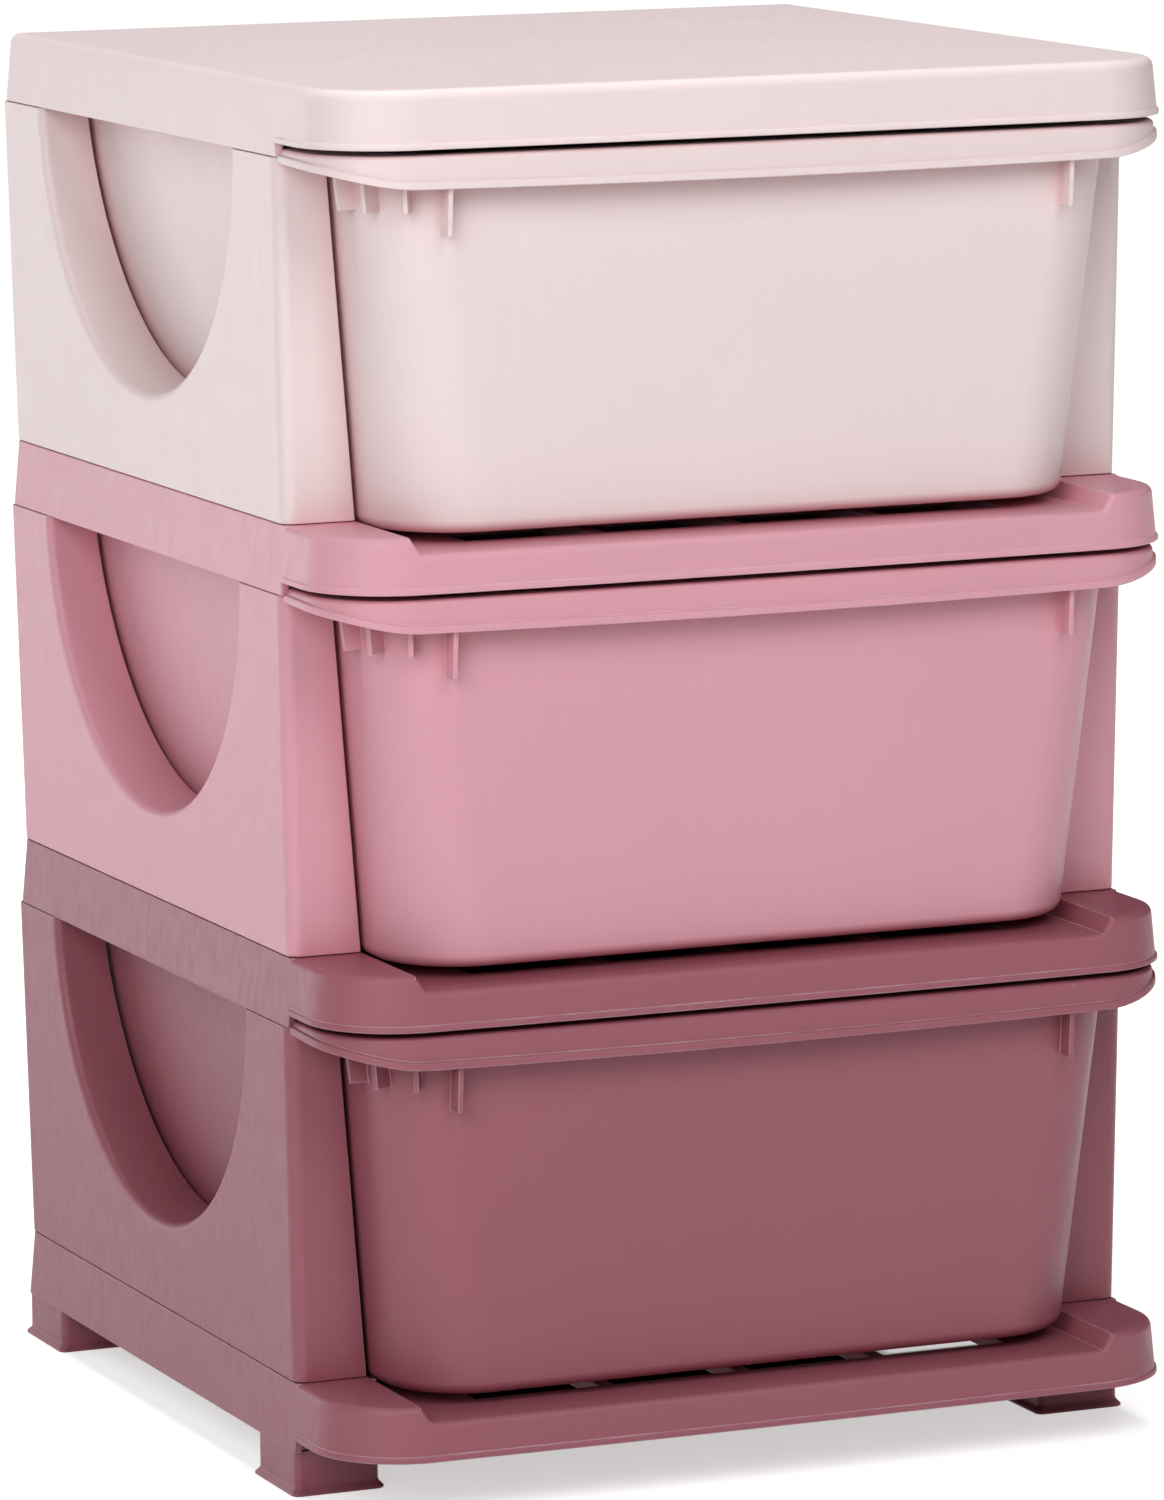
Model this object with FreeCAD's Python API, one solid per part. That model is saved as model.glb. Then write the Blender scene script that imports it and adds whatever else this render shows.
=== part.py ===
import FreeCAD, Part
import os
from math import atan2, cos, degrees, radians, sin, sqrt

# A tower of three pull-out totes for a child's room, moulded in plastic. All lengths are millimetres.
# X runs to the viewer's right, Y to the back and Z up. The origin is on the floor, under the middle.

V = FreeCAD.Vector
X_AXIS = V(1, 0, 0)
Y_AXIS = V(0, 1, 0)
Z_AXIS = V(0, 0, 1)

# The whole tower
unit_width = 370.0
unit_depth = 388.0
hood_reach = 63.1
tier_pitch = 172.7
tier_count = 3
ground_gap = 18.5
overrun = 2.0
hair = 0.01
rounding_steps = 2

# Clearances
seat_gap = 0.3
slide_gap = 0.3
side_gap = 2.6
fit_gap = 0.3
lip_end_gap = 0.4
flange_side_gap = 1.2
rear_stop_gap = 1.5

# Decks: the cover, the two shelves and the base are one family of trays with a skirt
skirt_height = 27.3
skirt_flare = 2.6
skirt_wall = 3.0
deck_plate = 2.5
rear_corner_radius = 9.0
corner_return = 3.0
cover_rise = 1.1
cover_edge_radius = 4.5

# The visor is the hood in front of the panels, with a slightly bowed front
visor_height = 22.0
visor_corner_radius = 38.0
visor_bow = 1.8
visor_edge_radius = 3.0
bead_height = 2.4
bead_proud = 0.8

# The channel between the pads lets a drawer hang clear of the deck
channel_depth = 6.5
flank_run = 5.0
rear_rim = 5.0

# Lattice of the deck's floor
lattice_bar = 6.0
lattice_side = 68.0
lattice_front = 35.0
lattice_rear = 44.7
lattice_columns = 4
lattice_rows = 5
bar_drop = 3.5

# Runner ribs under a deck, and the cheeks that box in the panel's tongues
runner_wall = 3.0
runner_inset = 4.5
cheek_wall = 2.5
cheek_shortening = 2.0

# Side panels
panel_wall = 2.4
panel_lean = 1.9
panel_corner_radius = 5.5
window_radius = 114.0
window_rise = 5.1
window_edge = 2.5
window_wall_sides = 12
tongue_length = 26.0
tongue_thickness = 3.0
tongue_up = 16.0
tongue_down = 10.0
tongue_setback = 12.0
tongue_root = 20.0
tongue_spacing = 3.0

# Drawers
rim_inset = 23.5
side_draft = 11.7
drawer_wall = 2.2
drawer_floor_height = 4.5
flange_thickness = 3.0
front_setback = 11.5
front_draft = 10.0
rear_draft = 6.0
rear_land = 6.0
drawer_corner_radius = 28.0
drawer_bottom_bevel = 6.0
drawer_cove = 4.0
flange_corner_radius = 12.0

# The drawer's front lip, a hood that follows the visor's outline
lip_height = 14.0
lip_wall = 2.0
lip_inset = 2.2
lip_flare = 1.0
lip_edge_radius = 2.0
lip_rise_share = 0.178
lip_rim_height = 3.2
lip_rim_proud = 1.2

# Corner ribs under the lip
rib_angles = (0, 30, 60, 90)
rib_wall = 2.0
rib_proud = 8.0
rib_root = 2.0
rib_drop = 20.0
long_rib_drop = 29.0

# Feet
foot_width = 36.0
foot_length = 43.0
foot_clip = 3.0
foot_flare = 1.8
foot_flare_height = 3.0
foot_wall = 2.5
foot_plug_gap = 1.6
foot_plug_step = 3.4
foot_plug_clip = 4.5
socket_wall = 2.5

# Levels and lines that follow from the sizes above. Tier heights are counted from the tier's lower seam.
base_seam = ground_gap + skirt_height
visor_front = bead_proud - skirt_flare * (1 - visor_height / skirt_height) - unit_depth / 2
rear_edge = unit_depth / 2
body_rear = rear_edge - skirt_flare
body_front = hood_reach - unit_depth / 2
body_middle = (body_front + body_rear) / 2
visor_root = body_front - corner_return
panel_top = tier_pitch - skirt_height - seat_gap
panel_tilt = degrees(atan2(skirt_flare, tier_pitch - skirt_height))
rim_underside = panel_top + slide_gap
rim_top = rim_underside + flange_thickness
drawer_floor = drawer_floor_height - channel_depth
runner_drop = tier_pitch - rim_top - slide_gap
lip_end = visor_root - lip_end_gap
bow_span = unit_width / 2 - visor_corner_radius
bow_radius = (bow_span ** 2 + visor_bow ** 2) / (2 * visor_bow)
window_level = panel_top + window_rise
foot_plug_height = skirt_height + seat_gap - tongue_down - foot_plug_gap
rim_half_width = unit_width / 2 - rim_inset
side_slope = side_draft / (rim_top - drawer_floor)
column_pitch = (unit_width - 2 * lattice_side + lattice_bar) / lattice_columns
row_pitch = (rear_edge - lattice_rear - visor_front - lattice_front + lattice_bar) / lattice_rows


def seam(tier):
    """Height of a tier's lower seam above the floor."""
    return base_seam + tier * tier_pitch


def box(x0, x1, y0, y1, z0, z1):
    """Block between three pairs of limits."""
    return Part.makeBox(x1 - x0, y1 - y0, z1 - z0, V(x0, y0, z0))


def prism(points, depth):
    """Straight prism on a closed polygon."""
    wire = Part.makePolygon(points + [points[0]])
    return Part.Face(wire).extrude(depth)


def polygon(points, z):
    """Closed outline through plan points at one height."""
    corners = [V(x, y, z) for x, y in points]
    return Part.makePolygon(corners + corners[:1])


def rectangle(x0, x1, y0, y1, z):
    """Four-sided outline at one height."""
    return polygon([(x1, y0), (x0, y0), (x0, y1), (x1, y1)], z)


def clipped_outline(x0, x1, y0, y1, clip, z):
    """Rectangle with its corners clipped."""
    points = [(x1, y0 + clip), (x1 - clip, y0), (x0 + clip, y0), (x0, y0 + clip)]
    points += [(x0, y1 - clip), (x0 + clip, y1), (x1 - clip, y1), (x1, y1 - clip)]
    return polygon(points, z)


def drafted_face(low, high):
    """Face between two edges, one above the other: flat, conical round one axis, or a slanted tube."""
    a, b = low.Vertexes[0].Point, low.Vertexes[-1].Point
    c, d = high.Vertexes[-1].Point, high.Vertexes[0].Point
    if low.Curve.TypeId == "Part::GeomLine":
        return Part.Face(Part.makePolygon([a, b, c, d, a]))
    if abs(low.Curve.Radius - high.Curve.Radius) < hair:
        return low.extrude(d - a)
    turn = degrees(low.LastParameter - low.FirstParameter) * low.Curve.Axis.z
    return Part.makeLine(a, d).revolve(low.Curve.Center, Z_AXIS, turn)


def loft(lower, upper):
    """Drafted solid between two outlines with the same run of edges."""
    faces = [drafted_face(low, high) for low, high in zip(lower.OrderedEdges, upper.OrderedEdges)]
    skin = Part.makeShell(faces + [Part.Face(lower), Part.Face(upper)])
    skin.sewShape()
    shell = Part.Shell(skin.Faces)
    solid = Part.makeSolid(shell)
    if solid.Orientation == "Reversed":
        solid = Part.makeSolid(shell.reversed())
    return solid


def rounded_cap(outline, radius, base):
    """Rounding of an upper edge in even steps. outline(inset, z) draws the plan of each step."""
    steps = [radians(90) * i / rounding_steps for i in range(rounding_steps + 1)]
    wires = [outline(radius * (1 - cos(step)), base + radius * sin(step)) for step in steps]
    bands = [loft(low, high) for low, high in zip(wires, wires[1:])]
    return bands[0].fuse(bands[1:])


def mirrored(shape):
    """The same shape on the tower's other side."""
    return shape.mirror(V(0, 0, 0), X_AXIS)


def both_sides(shape):
    """A right-hand feature together with its left-hand twin."""
    return [shape, mirrored(shape)]


def corner_point(x, y, radius, angle):
    """Point on a corner's arc, with the angle counted from +X towards the front."""
    return x + radius * cos(angle), y - radius * sin(angle)


def arc(start, middle, end, z):
    """Arc through three plan points at one height."""
    return Part.Arc(V(start[0], start[1], z), V(middle[0], middle[1], z), V(end[0], end[1], z)).toShape()


def line(start, end, z):
    """Straight edge between two plan points at one height."""
    return Part.makeLine(V(start[0], start[1], z), V(end[0], end[1], z))


def rounded_outline(x0, x1, y0, y1, radii, z):
    """Rectangle with round or square corners, named front right, front left, rear left, rear right."""
    reach = cos(radians(45))
    signs = ((1, 1), (-1, 1), (-1, -1), (1, -1))
    starts, middles, ends = [], [], []
    for (sx, sy), radius in zip(signs, radii):
        cx = (x1 if sx > 0 else x0) - sx * radius
        cy = (y0 if sy > 0 else y1) + sy * radius
        across = (cx + sx * radius, cy)
        along = (cx, cy - sy * radius)
        middles.append((cx + sx * radius * reach, cy - sy * radius * reach))
        starts.append(across if sx == sy else along)
        ends.append(along if sx == sy else across)
    edges = []
    for i, radius in enumerate(radii):
        if radius > 0:
            edges.append(arc(starts[i], middles[i], ends[i], z))
        edges.append(line(ends[i], starts[(i + 1) % len(radii)], z))
    return Part.Wire(edges)


def bowed_outline(grow, rear, rear_radius, z, faceted=False):
    """Plan of a deck or a lip: bowed front, large front corners, straight sides and rear."""
    half = unit_width / 2 + grow
    corner = visor_corner_radius + grow
    bow = bow_radius + grow
    front = visor_front - grow
    bow_centre = front + bow
    cx = half - corner
    cy = bow_centre - sqrt((bow - corner) ** 2 - cx ** 2)
    turn = atan2(bow_centre - cy, cx)
    side = (half, cy)
    middle = corner_point(cx, cy, corner, turn / 2)
    nose = corner_point(cx, cy, corner, turn)
    edges = [line(side, middle, z), line(middle, nose, z)] if faceted else [arc(side, middle, nose, z)]
    edges.append(arc(nose, (0, front), (-nose[0], nose[1]), z))
    nose, middle, side = [(-x, y) for x, y in (nose, middle, side)]
    edges += [line(nose, middle, z), line(middle, side, z)] if faceted else [arc(nose, middle, side, z)]
    inner = half - rear_radius
    shoulder = rear - rear_radius
    edges.append(line((-half, cy), (-half, shoulder), z))
    if rear_radius > 0:
        reach = rear_radius * cos(radians(45))
        edges.append(arc((-half, shoulder), (-inner - reach, shoulder + reach), (-inner, rear), z))
    edges.append(line((-inner, rear), (inner, rear), z))
    if rear_radius > 0:
        edges.append(arc((inner, rear), (inner + reach, shoulder + reach), (half, shoulder), z))
    edges.append(line((half, shoulder), (half, cy), z))
    return Part.Wire(edges)


def skirt_grow(z):
    """How far a deck's skirt stands from its size at the lower edge, below the seam at zero."""
    return -skirt_flare * (1 + z / skirt_height)


def deck_outline(level, offset, z, faceted=False):
    """Plan of a deck at one of its levels, moved outwards by an offset and laid at a height."""
    grow = skirt_grow(level) + offset
    return bowed_outline(grow, rear_edge + grow, rear_corner_radius + offset, z, faceted)


def deck_loft(offset, top, bottom, faceted=False):
    """Drafted solid inside the deck's outer skin, moved outwards by an offset."""
    return loft(deck_outline(bottom, offset, bottom, faceted), deck_outline(top, offset, top, faceted))


def deck_cavity(top):
    """Hollow under a deck. Its hidden front corners have flat facets."""
    return deck_loft(-skirt_wall, top, -skirt_height - overrun, True)


def drawer_half(z):
    """Half the drawer's outer width at a height."""
    return rim_half_width - side_slope * (rim_top - z)


def panel_inner(z):
    """Distance of a panel's inner face from the middle plane."""
    return drawer_half(z) + side_gap


def panel_outer(z):
    """Distance of a panel's outer face from the middle plane: it widens to the skirt above."""
    return unit_width / 2 - skirt_flare + skirt_flare * z / (tier_pitch - skirt_height)


def skirt_inner(z):
    """Distance of a skirt's inner face from the middle plane, below the seam at zero."""
    return unit_width / 2 + skirt_grow(z) - skirt_wall


# The tongues' places, which panels and decks share
tongue_reach = tongue_setback + tongue_length / 2
tongue_middles = (body_front + tongue_reach, body_rear - tongue_reach)
upper_tongue_outer = skirt_inner(tongue_up - skirt_height) - fit_gap
upper_tongue_inner = upper_tongue_outer - tongue_thickness
lower_tongue_outer = upper_tongue_inner - tongue_spacing
lower_tongue_inner = lower_tongue_outer - tongue_thickness
flange_half = upper_tongue_inner - flange_side_gap
runner_outer = lower_tongue_inner - runner_inset + runner_wall


def channel_prism(grow, rear, sink=0):
    """The channel's trapezoid, or that of the plate below it, run from the front to a rear line."""
    top = panel_inner(0) + grow
    bottom = top - flank_run
    depth = channel_depth + grow
    start = visor_front - overrun
    outline = [(top, overrun), (top, 0), (bottom, -depth)]
    if sink > 0:
        outline.append((bottom, -depth - sink))
    points = [V(x, start, z) for x, z in outline]
    points += [V(-x, start, z) for x, z in reversed(outline)]
    return prism(points, V(0, rear - start, 0))


def lattice_cutters():
    """Holes through the floor and the deeper bars under it."""
    low = -channel_depth - deck_plate - bar_drop - overrun
    cutters = []
    for column in range(lattice_columns):
        x = lattice_side - unit_width / 2 + column * column_pitch
        for row in range(lattice_rows):
            y = visor_front + lattice_front + row * row_pitch
            cutters.append(box(x, x + column_pitch - lattice_bar, y, y + row_pitch - lattice_bar,
                               low, overrun - channel_depth))
    return cutters


def lattice_bars():
    """Block that deepens the bars between and around the floor's openings."""
    side = unit_width / 2 - lattice_side + lattice_bar
    front = visor_front + lattice_front - lattice_bar
    rear = rear_edge - lattice_rear + lattice_bar
    top = -channel_depth - deck_plate / 2
    return box(-side, side, front, rear, -channel_depth - deck_plate - bar_drop, top)


def tongue_cheeks(bottom):
    """Webs beside each tongue, from the runner rib out to the skirt."""
    cheeks = []
    for middle in tongue_middles:
        for side in (-1, 1):
            near = middle + side * (tongue_length / 2 + fit_gap)
            far = near + side * cheek_wall
            web = box(runner_outer - runner_wall / 2, skirt_inner(0) + skirt_wall / 2,
                      min(near, far), max(near, far), bottom, -deck_plate / 2)
            cheeks += both_sides(web)
    return cheeks


def tongue_slots():
    """Slots in the pads for the tongues of the panels above."""
    slots = []
    for middle in tongue_middles:
        half = tongue_length / 2 + fit_gap
        slot = box(lower_tongue_inner - fit_gap, lower_tongue_outer + fit_gap,
                   middle - half, middle + half, -deck_plate - overrun, overrun)
        slots += both_sides(slot)
    return slots


def runner_ribs():
    """Long ribs that hold a drawer's flanges down while it is pulled out."""
    rib = box(runner_outer - runner_wall, runner_outer, visor_root, body_rear - skirt_wall / 2,
              -runner_drop, -deck_plate / 2)
    return both_sides(rib)


def skirted_tray(top, edge_radius):
    """Outer body of every deck: skirt, higher visor edge, bead and a rounded upper edge."""
    low = -visor_height
    brow = top - edge_radius
    body = deck_loft(0, brow, -skirt_height)
    back = rear_edge + overrun
    below_visor = box(-unit_width, unit_width, -unit_depth, visor_root, -skirt_height - overrun, low)
    bead = deck_loft(bead_proud, low + bead_height, low)
    bead = bead.cut(box(-unit_width, unit_width, visor_root, back, low - overrun, top + overrun))
    cap = rounded_cap(lambda inset, z: deck_outline(brow, -inset, z), edge_radius, brow)
    return body.cut(below_visor).fuse([bead, cap])


def shelf_body():
    """A shelf or base before its underside is fitted out. Only its visor has a rounded edge."""
    ahead = box(-unit_width, unit_width, -unit_depth, body_front, -skirt_height - overrun, overrun)
    low_visor = skirted_tray(-channel_depth, visor_edge_radius).common(ahead)
    pads = skirted_tray(0, visor_edge_radius).common(ahead)
    pads = pads.cut(channel_prism(0, body_front + overrun, visor_height))
    body = deck_loft(0, 0, -skirt_height).cut([ahead, channel_prism(0, body_rear - rear_rim)])
    cavity = deck_cavity(-deck_plate).cut(channel_prism(deck_plate, rear_edge + overrun))
    return body.fuse([low_visor, pads]).cut(cavity)


def shelf():
    """Shelf between two tiers: a floor for the drawer above, runners for the drawer below."""
    body = shelf_body()
    body = body.fuse([lattice_bars()] + runner_ribs() + tongue_cheeks(cheek_shortening - runner_drop))
    return body.cut(lattice_cutters() + tongue_slots())


def foot_limits(front):
    """Plan limits of a right-hand foot's shank."""
    x1 = unit_width / 2 - foot_flare
    x0 = x1 - foot_width
    y0 = body_front if front else rear_edge - foot_flare - foot_length
    return x0, x1, y0, y0 + foot_length


def foot_sockets():
    """Collars under the base that take the feet's plugs. The skirt closes them on the outside."""
    top = -deck_plate / 2
    sockets = []
    for front in (True, False):
        x0, x1, y0, y1 = foot_limits(front)
        step = foot_plug_step - fit_gap
        inner_end = y1 - step if front else unit_depth
        outer_end = y1 - step + socket_wall if front else rear_edge
        inner = box(x0 + step, unit_width, y0 + step, inner_end, -skirt_height - overrun, top)
        outer = box(x0 + step - socket_wall, unit_width / 2, y0 + step - socket_wall, outer_end,
                    -skirt_height + seat_gap, top)
        sockets += both_sides(outer.cut(inner).common(deck_loft(-skirt_wall / 2, 0, -skirt_height)))
    return sockets


def base_shelf():
    """Lowest deck: the same floor as a shelf, on sockets for the feet."""
    body = shelf_body()
    body = body.fuse([lattice_bars()] + foot_sockets())
    return body.cut(lattice_cutters() + tongue_slots())


def top_cover():
    """Closed top with a softened edge all round."""
    body = skirted_tray(cover_rise, cover_edge_radius)
    body = body.cut(deck_cavity(cover_rise - deck_plate))
    return body.fuse(runner_ribs() + tongue_cheeks(cheek_shortening - runner_drop))


def panel_wire(inset, radii, z):
    """Plan of the right-hand panel at a height, drawn inwards by an inset."""
    lean = panel_lean * z / panel_top
    return rounded_outline(panel_inner(z) + inset, panel_outer(z) - inset,
                           body_front - lean + inset, body_rear + lean - inset, radii, z)


def window_cone(start_radius, end_radius, start, end):
    """Cone or bore round the window's middle, square with the panel's leaning outer face."""
    middle = V(panel_outer(window_level), body_middle, window_level)
    place = middle + X_AXIS * start
    if start_radius == end_radius:
        form = Part.makeCylinder(start_radius, end - start, place, X_AXIS)
    else:
        form = Part.makeCone(start_radius, end_radius, end - start, place, X_AXIS)
    form.rotate(middle, Y_AXIS, panel_tilt)
    return form


def window_wall():
    """Prism of flat sides round the window, on the panel's hidden side."""
    step = radians(360) / window_wall_sides
    reach = (window_radius + panel_wall) / cos(step / 2)
    angles = [step * (i + 1 / 2) for i in range(window_wall_sides)]
    points = [V(0, body_middle + reach * cos(a), window_level + reach * sin(a)) for a in angles]
    return prism(points, X_AXIS * unit_width)


def side_panel():
    """Right-hand panel: a drafted shell, open below, with a round window under the next skirt."""
    radii = [panel_corner_radius, 0, 0, panel_corner_radius]
    square = [0, 0, 0, 0]
    skin = loft(panel_wire(0, radii, seat_gap), panel_wire(0, radii, panel_top))
    ceiling = panel_top - panel_wall
    cavity = loft(panel_wire(panel_wall, square, -overrun), panel_wire(panel_wall, square, ceiling))
    bore = window_cone(window_radius, window_radius, -unit_width / 4, overrun)
    bevel = window_cone(window_radius - window_edge, window_radius + 2 * window_edge,
                        -2 * window_edge, window_edge)
    skin = skin.cut([bore, bevel])
    half = panel_wall / 2
    webs = [box(0, unit_width / 2, y - half, y + half, seat_gap, panel_top) for y in tongue_middles]
    hollow = cavity.cut([window_wall()] + webs)
    shell = skin.cut(hollow)
    tongues = []
    for middle in tongue_middles:
        y0, y1 = middle - tongue_length / 2, middle + tongue_length / 2
        tongues.append(box(upper_tongue_inner, upper_tongue_outer, y0, y1,
                           panel_top - panel_wall / 2, panel_top + tongue_up - seat_gap))
        tongues.append(box(lower_tongue_inner, lower_tongue_outer, y0, y1, -tongue_down, tongue_root))
    return shell.fuse(tongues)


def tote_plan(inset, z):
    """Four-sided plan of the tote at a height, drawn inwards by an inset: it narrows to its floor."""
    drop = 1 - (z - drawer_floor) / (rim_top - drawer_floor)
    half = drawer_half(z) - inset
    front = visor_front + front_setback + front_draft * drop + inset
    rear = body_rear - skirt_wall - rear_stop_gap - rear_land - rear_draft * drop - inset
    return rectangle(-half, half, front, rear, z)


def tote_block(inset, low, high, bevel):
    """Drafted block with rounded upright corners and a bevel round its floor."""
    block = loft(tote_plan(inset, low), tote_plan(inset, high))
    uprights = [edge for edge in block.Edges if edge.BoundBox.ZLength > (high - low) / 2]
    block = block.makeFillet(drawer_corner_radius - inset, uprights)
    floor_edges = [edge for edge in block.Edges if edge.BoundBox.ZMax < low + hair]
    return block.makeChamfer(bevel, floor_edges)


def lip_level(y, lift):
    """Height of the lip's sloping lower edge, or a line above it."""
    return rim_top - lip_height + lift + lip_rise_share * (y - visor_front)


def lip_slab(low, high):
    """Block between two planes that slope with the lip's lower edge."""
    y0, y1 = visor_front - overrun, lip_end + overrun
    sides = [(y0, low(y0)), (y1, low(y1)), (y1, high(y1)), (y0, high(y0))]
    points = [V(-unit_width, y, z) for y, z in sides]
    return prism(points, V(2 * unit_width, 0, 0))


def lip_outline(grow, z, faceted=False):
    """Plan of the lip, grown or shrunk in front and at the sides."""
    return bowed_outline(grow, lip_end, 0, z, faceted)


def lip_grow(z):
    """How far the lip's wall stands from the decks' full width."""
    return -lip_inset + lip_flare * (rim_top - z) / lip_height


def lip_loft(offset, low, high, faceted=False):
    """Drafted solid inside the lip's skin, moved outwards by an offset."""
    lower = lip_outline(lip_grow(low) + offset, low, faceted)
    return loft(lower, lip_outline(lip_grow(high) + offset, high, faceted))


def drawer_lip():
    """Front hood of a drawer: top plate, thin wall and a proud rim along its rising lower edge."""
    bottom = rim_top - lip_height - overrun
    brow = rim_top - lip_edge_radius
    cap = rounded_cap(lambda inset, z: lip_outline(lip_grow(brow) - inset, z), lip_edge_radius, brow)
    edge = lip_slab(lambda y: lip_level(y, 0), lambda y: lip_level(y, lip_rim_height))
    rim = lip_loft(lip_rim_proud, bottom, brow).common(edge)
    hollow = lip_loft(-lip_wall, bottom - overrun, rim_underside, True)
    hollow = hollow.fuse(box(-unit_width / 2 + lip_inset + lip_wall, unit_width / 2 - lip_inset - lip_wall,
                             lip_end - lip_wall, lip_end + overrun, bottom - overrun, rim_underside))
    below = lip_slab(lambda y: bottom - overrun, lambda y: lip_level(y, 0))
    return lip_loft(0, bottom, brow).fuse([cap, rim]).cut([hollow, below])


def corner_ribs():
    """Fins that fan round each front corner under the lip."""
    centre_x = rim_half_width - drawer_corner_radius
    centre_y = visor_front + front_setback + drawer_corner_radius
    ribs = []
    for angle in rib_angles:
        drop = long_rib_drop if angle == rib_angles[-1] else rib_drop
        start = drawer_corner_radius - drawer_wall - rib_root
        end = drawer_corner_radius + rib_proud
        fin = box(start, end, -rib_wall / 2, rib_wall / 2,
                  rim_underside - drop, rim_underside + drawer_wall / 2)
        fin.rotate(V(0, 0, 0), Z_AXIS, -angle)
        fin.translate(V(centre_x, centre_y, 0))
        ribs += both_sides(fin)
    return ribs


def drawer():
    """Tote with a flange that rides on the panels' tops."""
    flange_rear = body_rear - skirt_wall - rear_stop_gap
    radius = flange_corner_radius
    plate = rounded_outline(-flange_half, flange_half, lip_end - overrun, flange_rear,
                            [0, 0, radius, radius], rim_underside)
    flange = Part.Face(plate).extrude(V(0, 0, flange_thickness))
    outside = tote_block(0, drawer_floor, rim_top, drawer_bottom_bevel)
    inside = tote_block(drawer_wall, drawer_floor + drawer_wall, rim_top + overrun, drawer_cove)
    return outside.fuse([flange, drawer_lip()] + corner_ribs()).cut(inside)


def foot(front):
    """Right-hand foot: a hollow shank with a flared sole and a plug for the base's socket."""
    x0, x1, y0, y1 = foot_limits(front)
    flare, wall, step = foot_flare, foot_wall, foot_plug_step
    shank_height = ground_gap - seat_gap
    ankle = clipped_outline(x0, x1, y0, y1, foot_clip, foot_flare_height)
    sole = loft(clipped_outline(x0 - flare, x1 + flare, y0 - flare, y1 + flare, foot_clip, 0), ankle)
    shank = Part.Face(ankle).extrude(V(0, 0, shank_height - foot_flare_height))
    plug = clipped_outline(x0 + step, x1 - step, y0 + step, y1 - step, foot_plug_clip, wall)
    plug = Part.Face(plug).extrude(V(0, 0, shank_height + foot_plug_height - wall))
    step += wall
    hollow = clipped_outline(x0 + step, x1 - step, y0 + step, y1 - step, foot_clip, wall)
    hollow = Part.Face(hollow).extrude(V(0, 0, shank_height + foot_plug_height))
    return sole.fuse([shank, plug]).cut(hollow)


def save(name, shape, height):
    """Lift a sub-part to its height above the floor and write it."""
    placed = shape.removeSplitter().Solids[0]
    placed.translate(V(0, 0, height))
    placed.exportStep("parts/" + name + ".step")
    print(name, len(placed.Solids), placed.isValid(), round(placed.Volume), placed.BoundBox)


def main():
    os.makedirs("parts", exist_ok=True)
    save("top_cover", top_cover(), seam(tier_count))
    middle_shelf = shelf()
    save("upper_shelf", middle_shelf, seam(tier_count - 1))
    save("lower_shelf", middle_shelf, seam(tier_count - 2))
    save("base_shelf", base_shelf(), seam(0))
    tote = drawer()
    right = side_panel()
    left = mirrored(right)
    for tier, name in enumerate(("lower", "middle", "upper")):
        save(name + "_drawer", tote, seam(tier))
        save(name + "_right_panel", right, seam(tier))
        save(name + "_left_panel", left, seam(tier))
    for name, front in (("front", True), ("rear", False)):
        right_foot = foot(front)
        save(name + "_right_foot", right_foot, 0)
        save(name + "_left_foot", mirrored(right_foot), 0)


main()
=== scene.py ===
from collections import namedtuple
from math import asin, atan2, cos, exp, pi, radians, sin, sqrt

import bmesh
import bpy
from bpy.props import FloatProperty, FloatVectorProperty, IntProperty, PointerProperty
from mathutils import Matrix, Vector


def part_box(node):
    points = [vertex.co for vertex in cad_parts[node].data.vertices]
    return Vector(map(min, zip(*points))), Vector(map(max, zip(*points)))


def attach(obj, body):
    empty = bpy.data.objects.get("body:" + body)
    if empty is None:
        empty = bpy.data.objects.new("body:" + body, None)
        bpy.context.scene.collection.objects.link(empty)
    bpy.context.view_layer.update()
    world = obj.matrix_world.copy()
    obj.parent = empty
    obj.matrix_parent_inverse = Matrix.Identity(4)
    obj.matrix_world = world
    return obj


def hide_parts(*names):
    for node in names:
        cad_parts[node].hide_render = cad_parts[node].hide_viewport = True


bl_info = {
    "name": "Plastic drawer tower",
    "version": (1, 0, 0),
    "blender": (4, 5, 0),
    "location": "3D View > Sidebar > Drawer tower",
    "description": "Moulds the visible pieces of a three-drawer plastic tower on its frame",
    "category": "Object",
}

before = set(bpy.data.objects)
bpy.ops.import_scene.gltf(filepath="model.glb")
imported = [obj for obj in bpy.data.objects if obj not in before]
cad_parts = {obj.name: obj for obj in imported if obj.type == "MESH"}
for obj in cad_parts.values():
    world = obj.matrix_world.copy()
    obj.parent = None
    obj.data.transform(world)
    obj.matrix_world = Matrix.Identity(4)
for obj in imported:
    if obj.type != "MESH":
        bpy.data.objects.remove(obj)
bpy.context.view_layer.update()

MM = 0.001

# Seams between the tiers, read from the frame's decks
SEAMS = {
    "upper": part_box("upper_shelf")[1].z,
    "middle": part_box("lower_shelf")[1].z,
    "lower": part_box("base_shelf")[1].z,
}
TIER_PITCH = SEAMS["upper"] - SEAMS["middle"]
COVER_SEAM = SEAMS["upper"] + TIER_PITCH
TIER_FINISH = {"upper": "pale_plastic", "middle": "rose_plastic", "lower": "mauve_plastic"}

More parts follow.
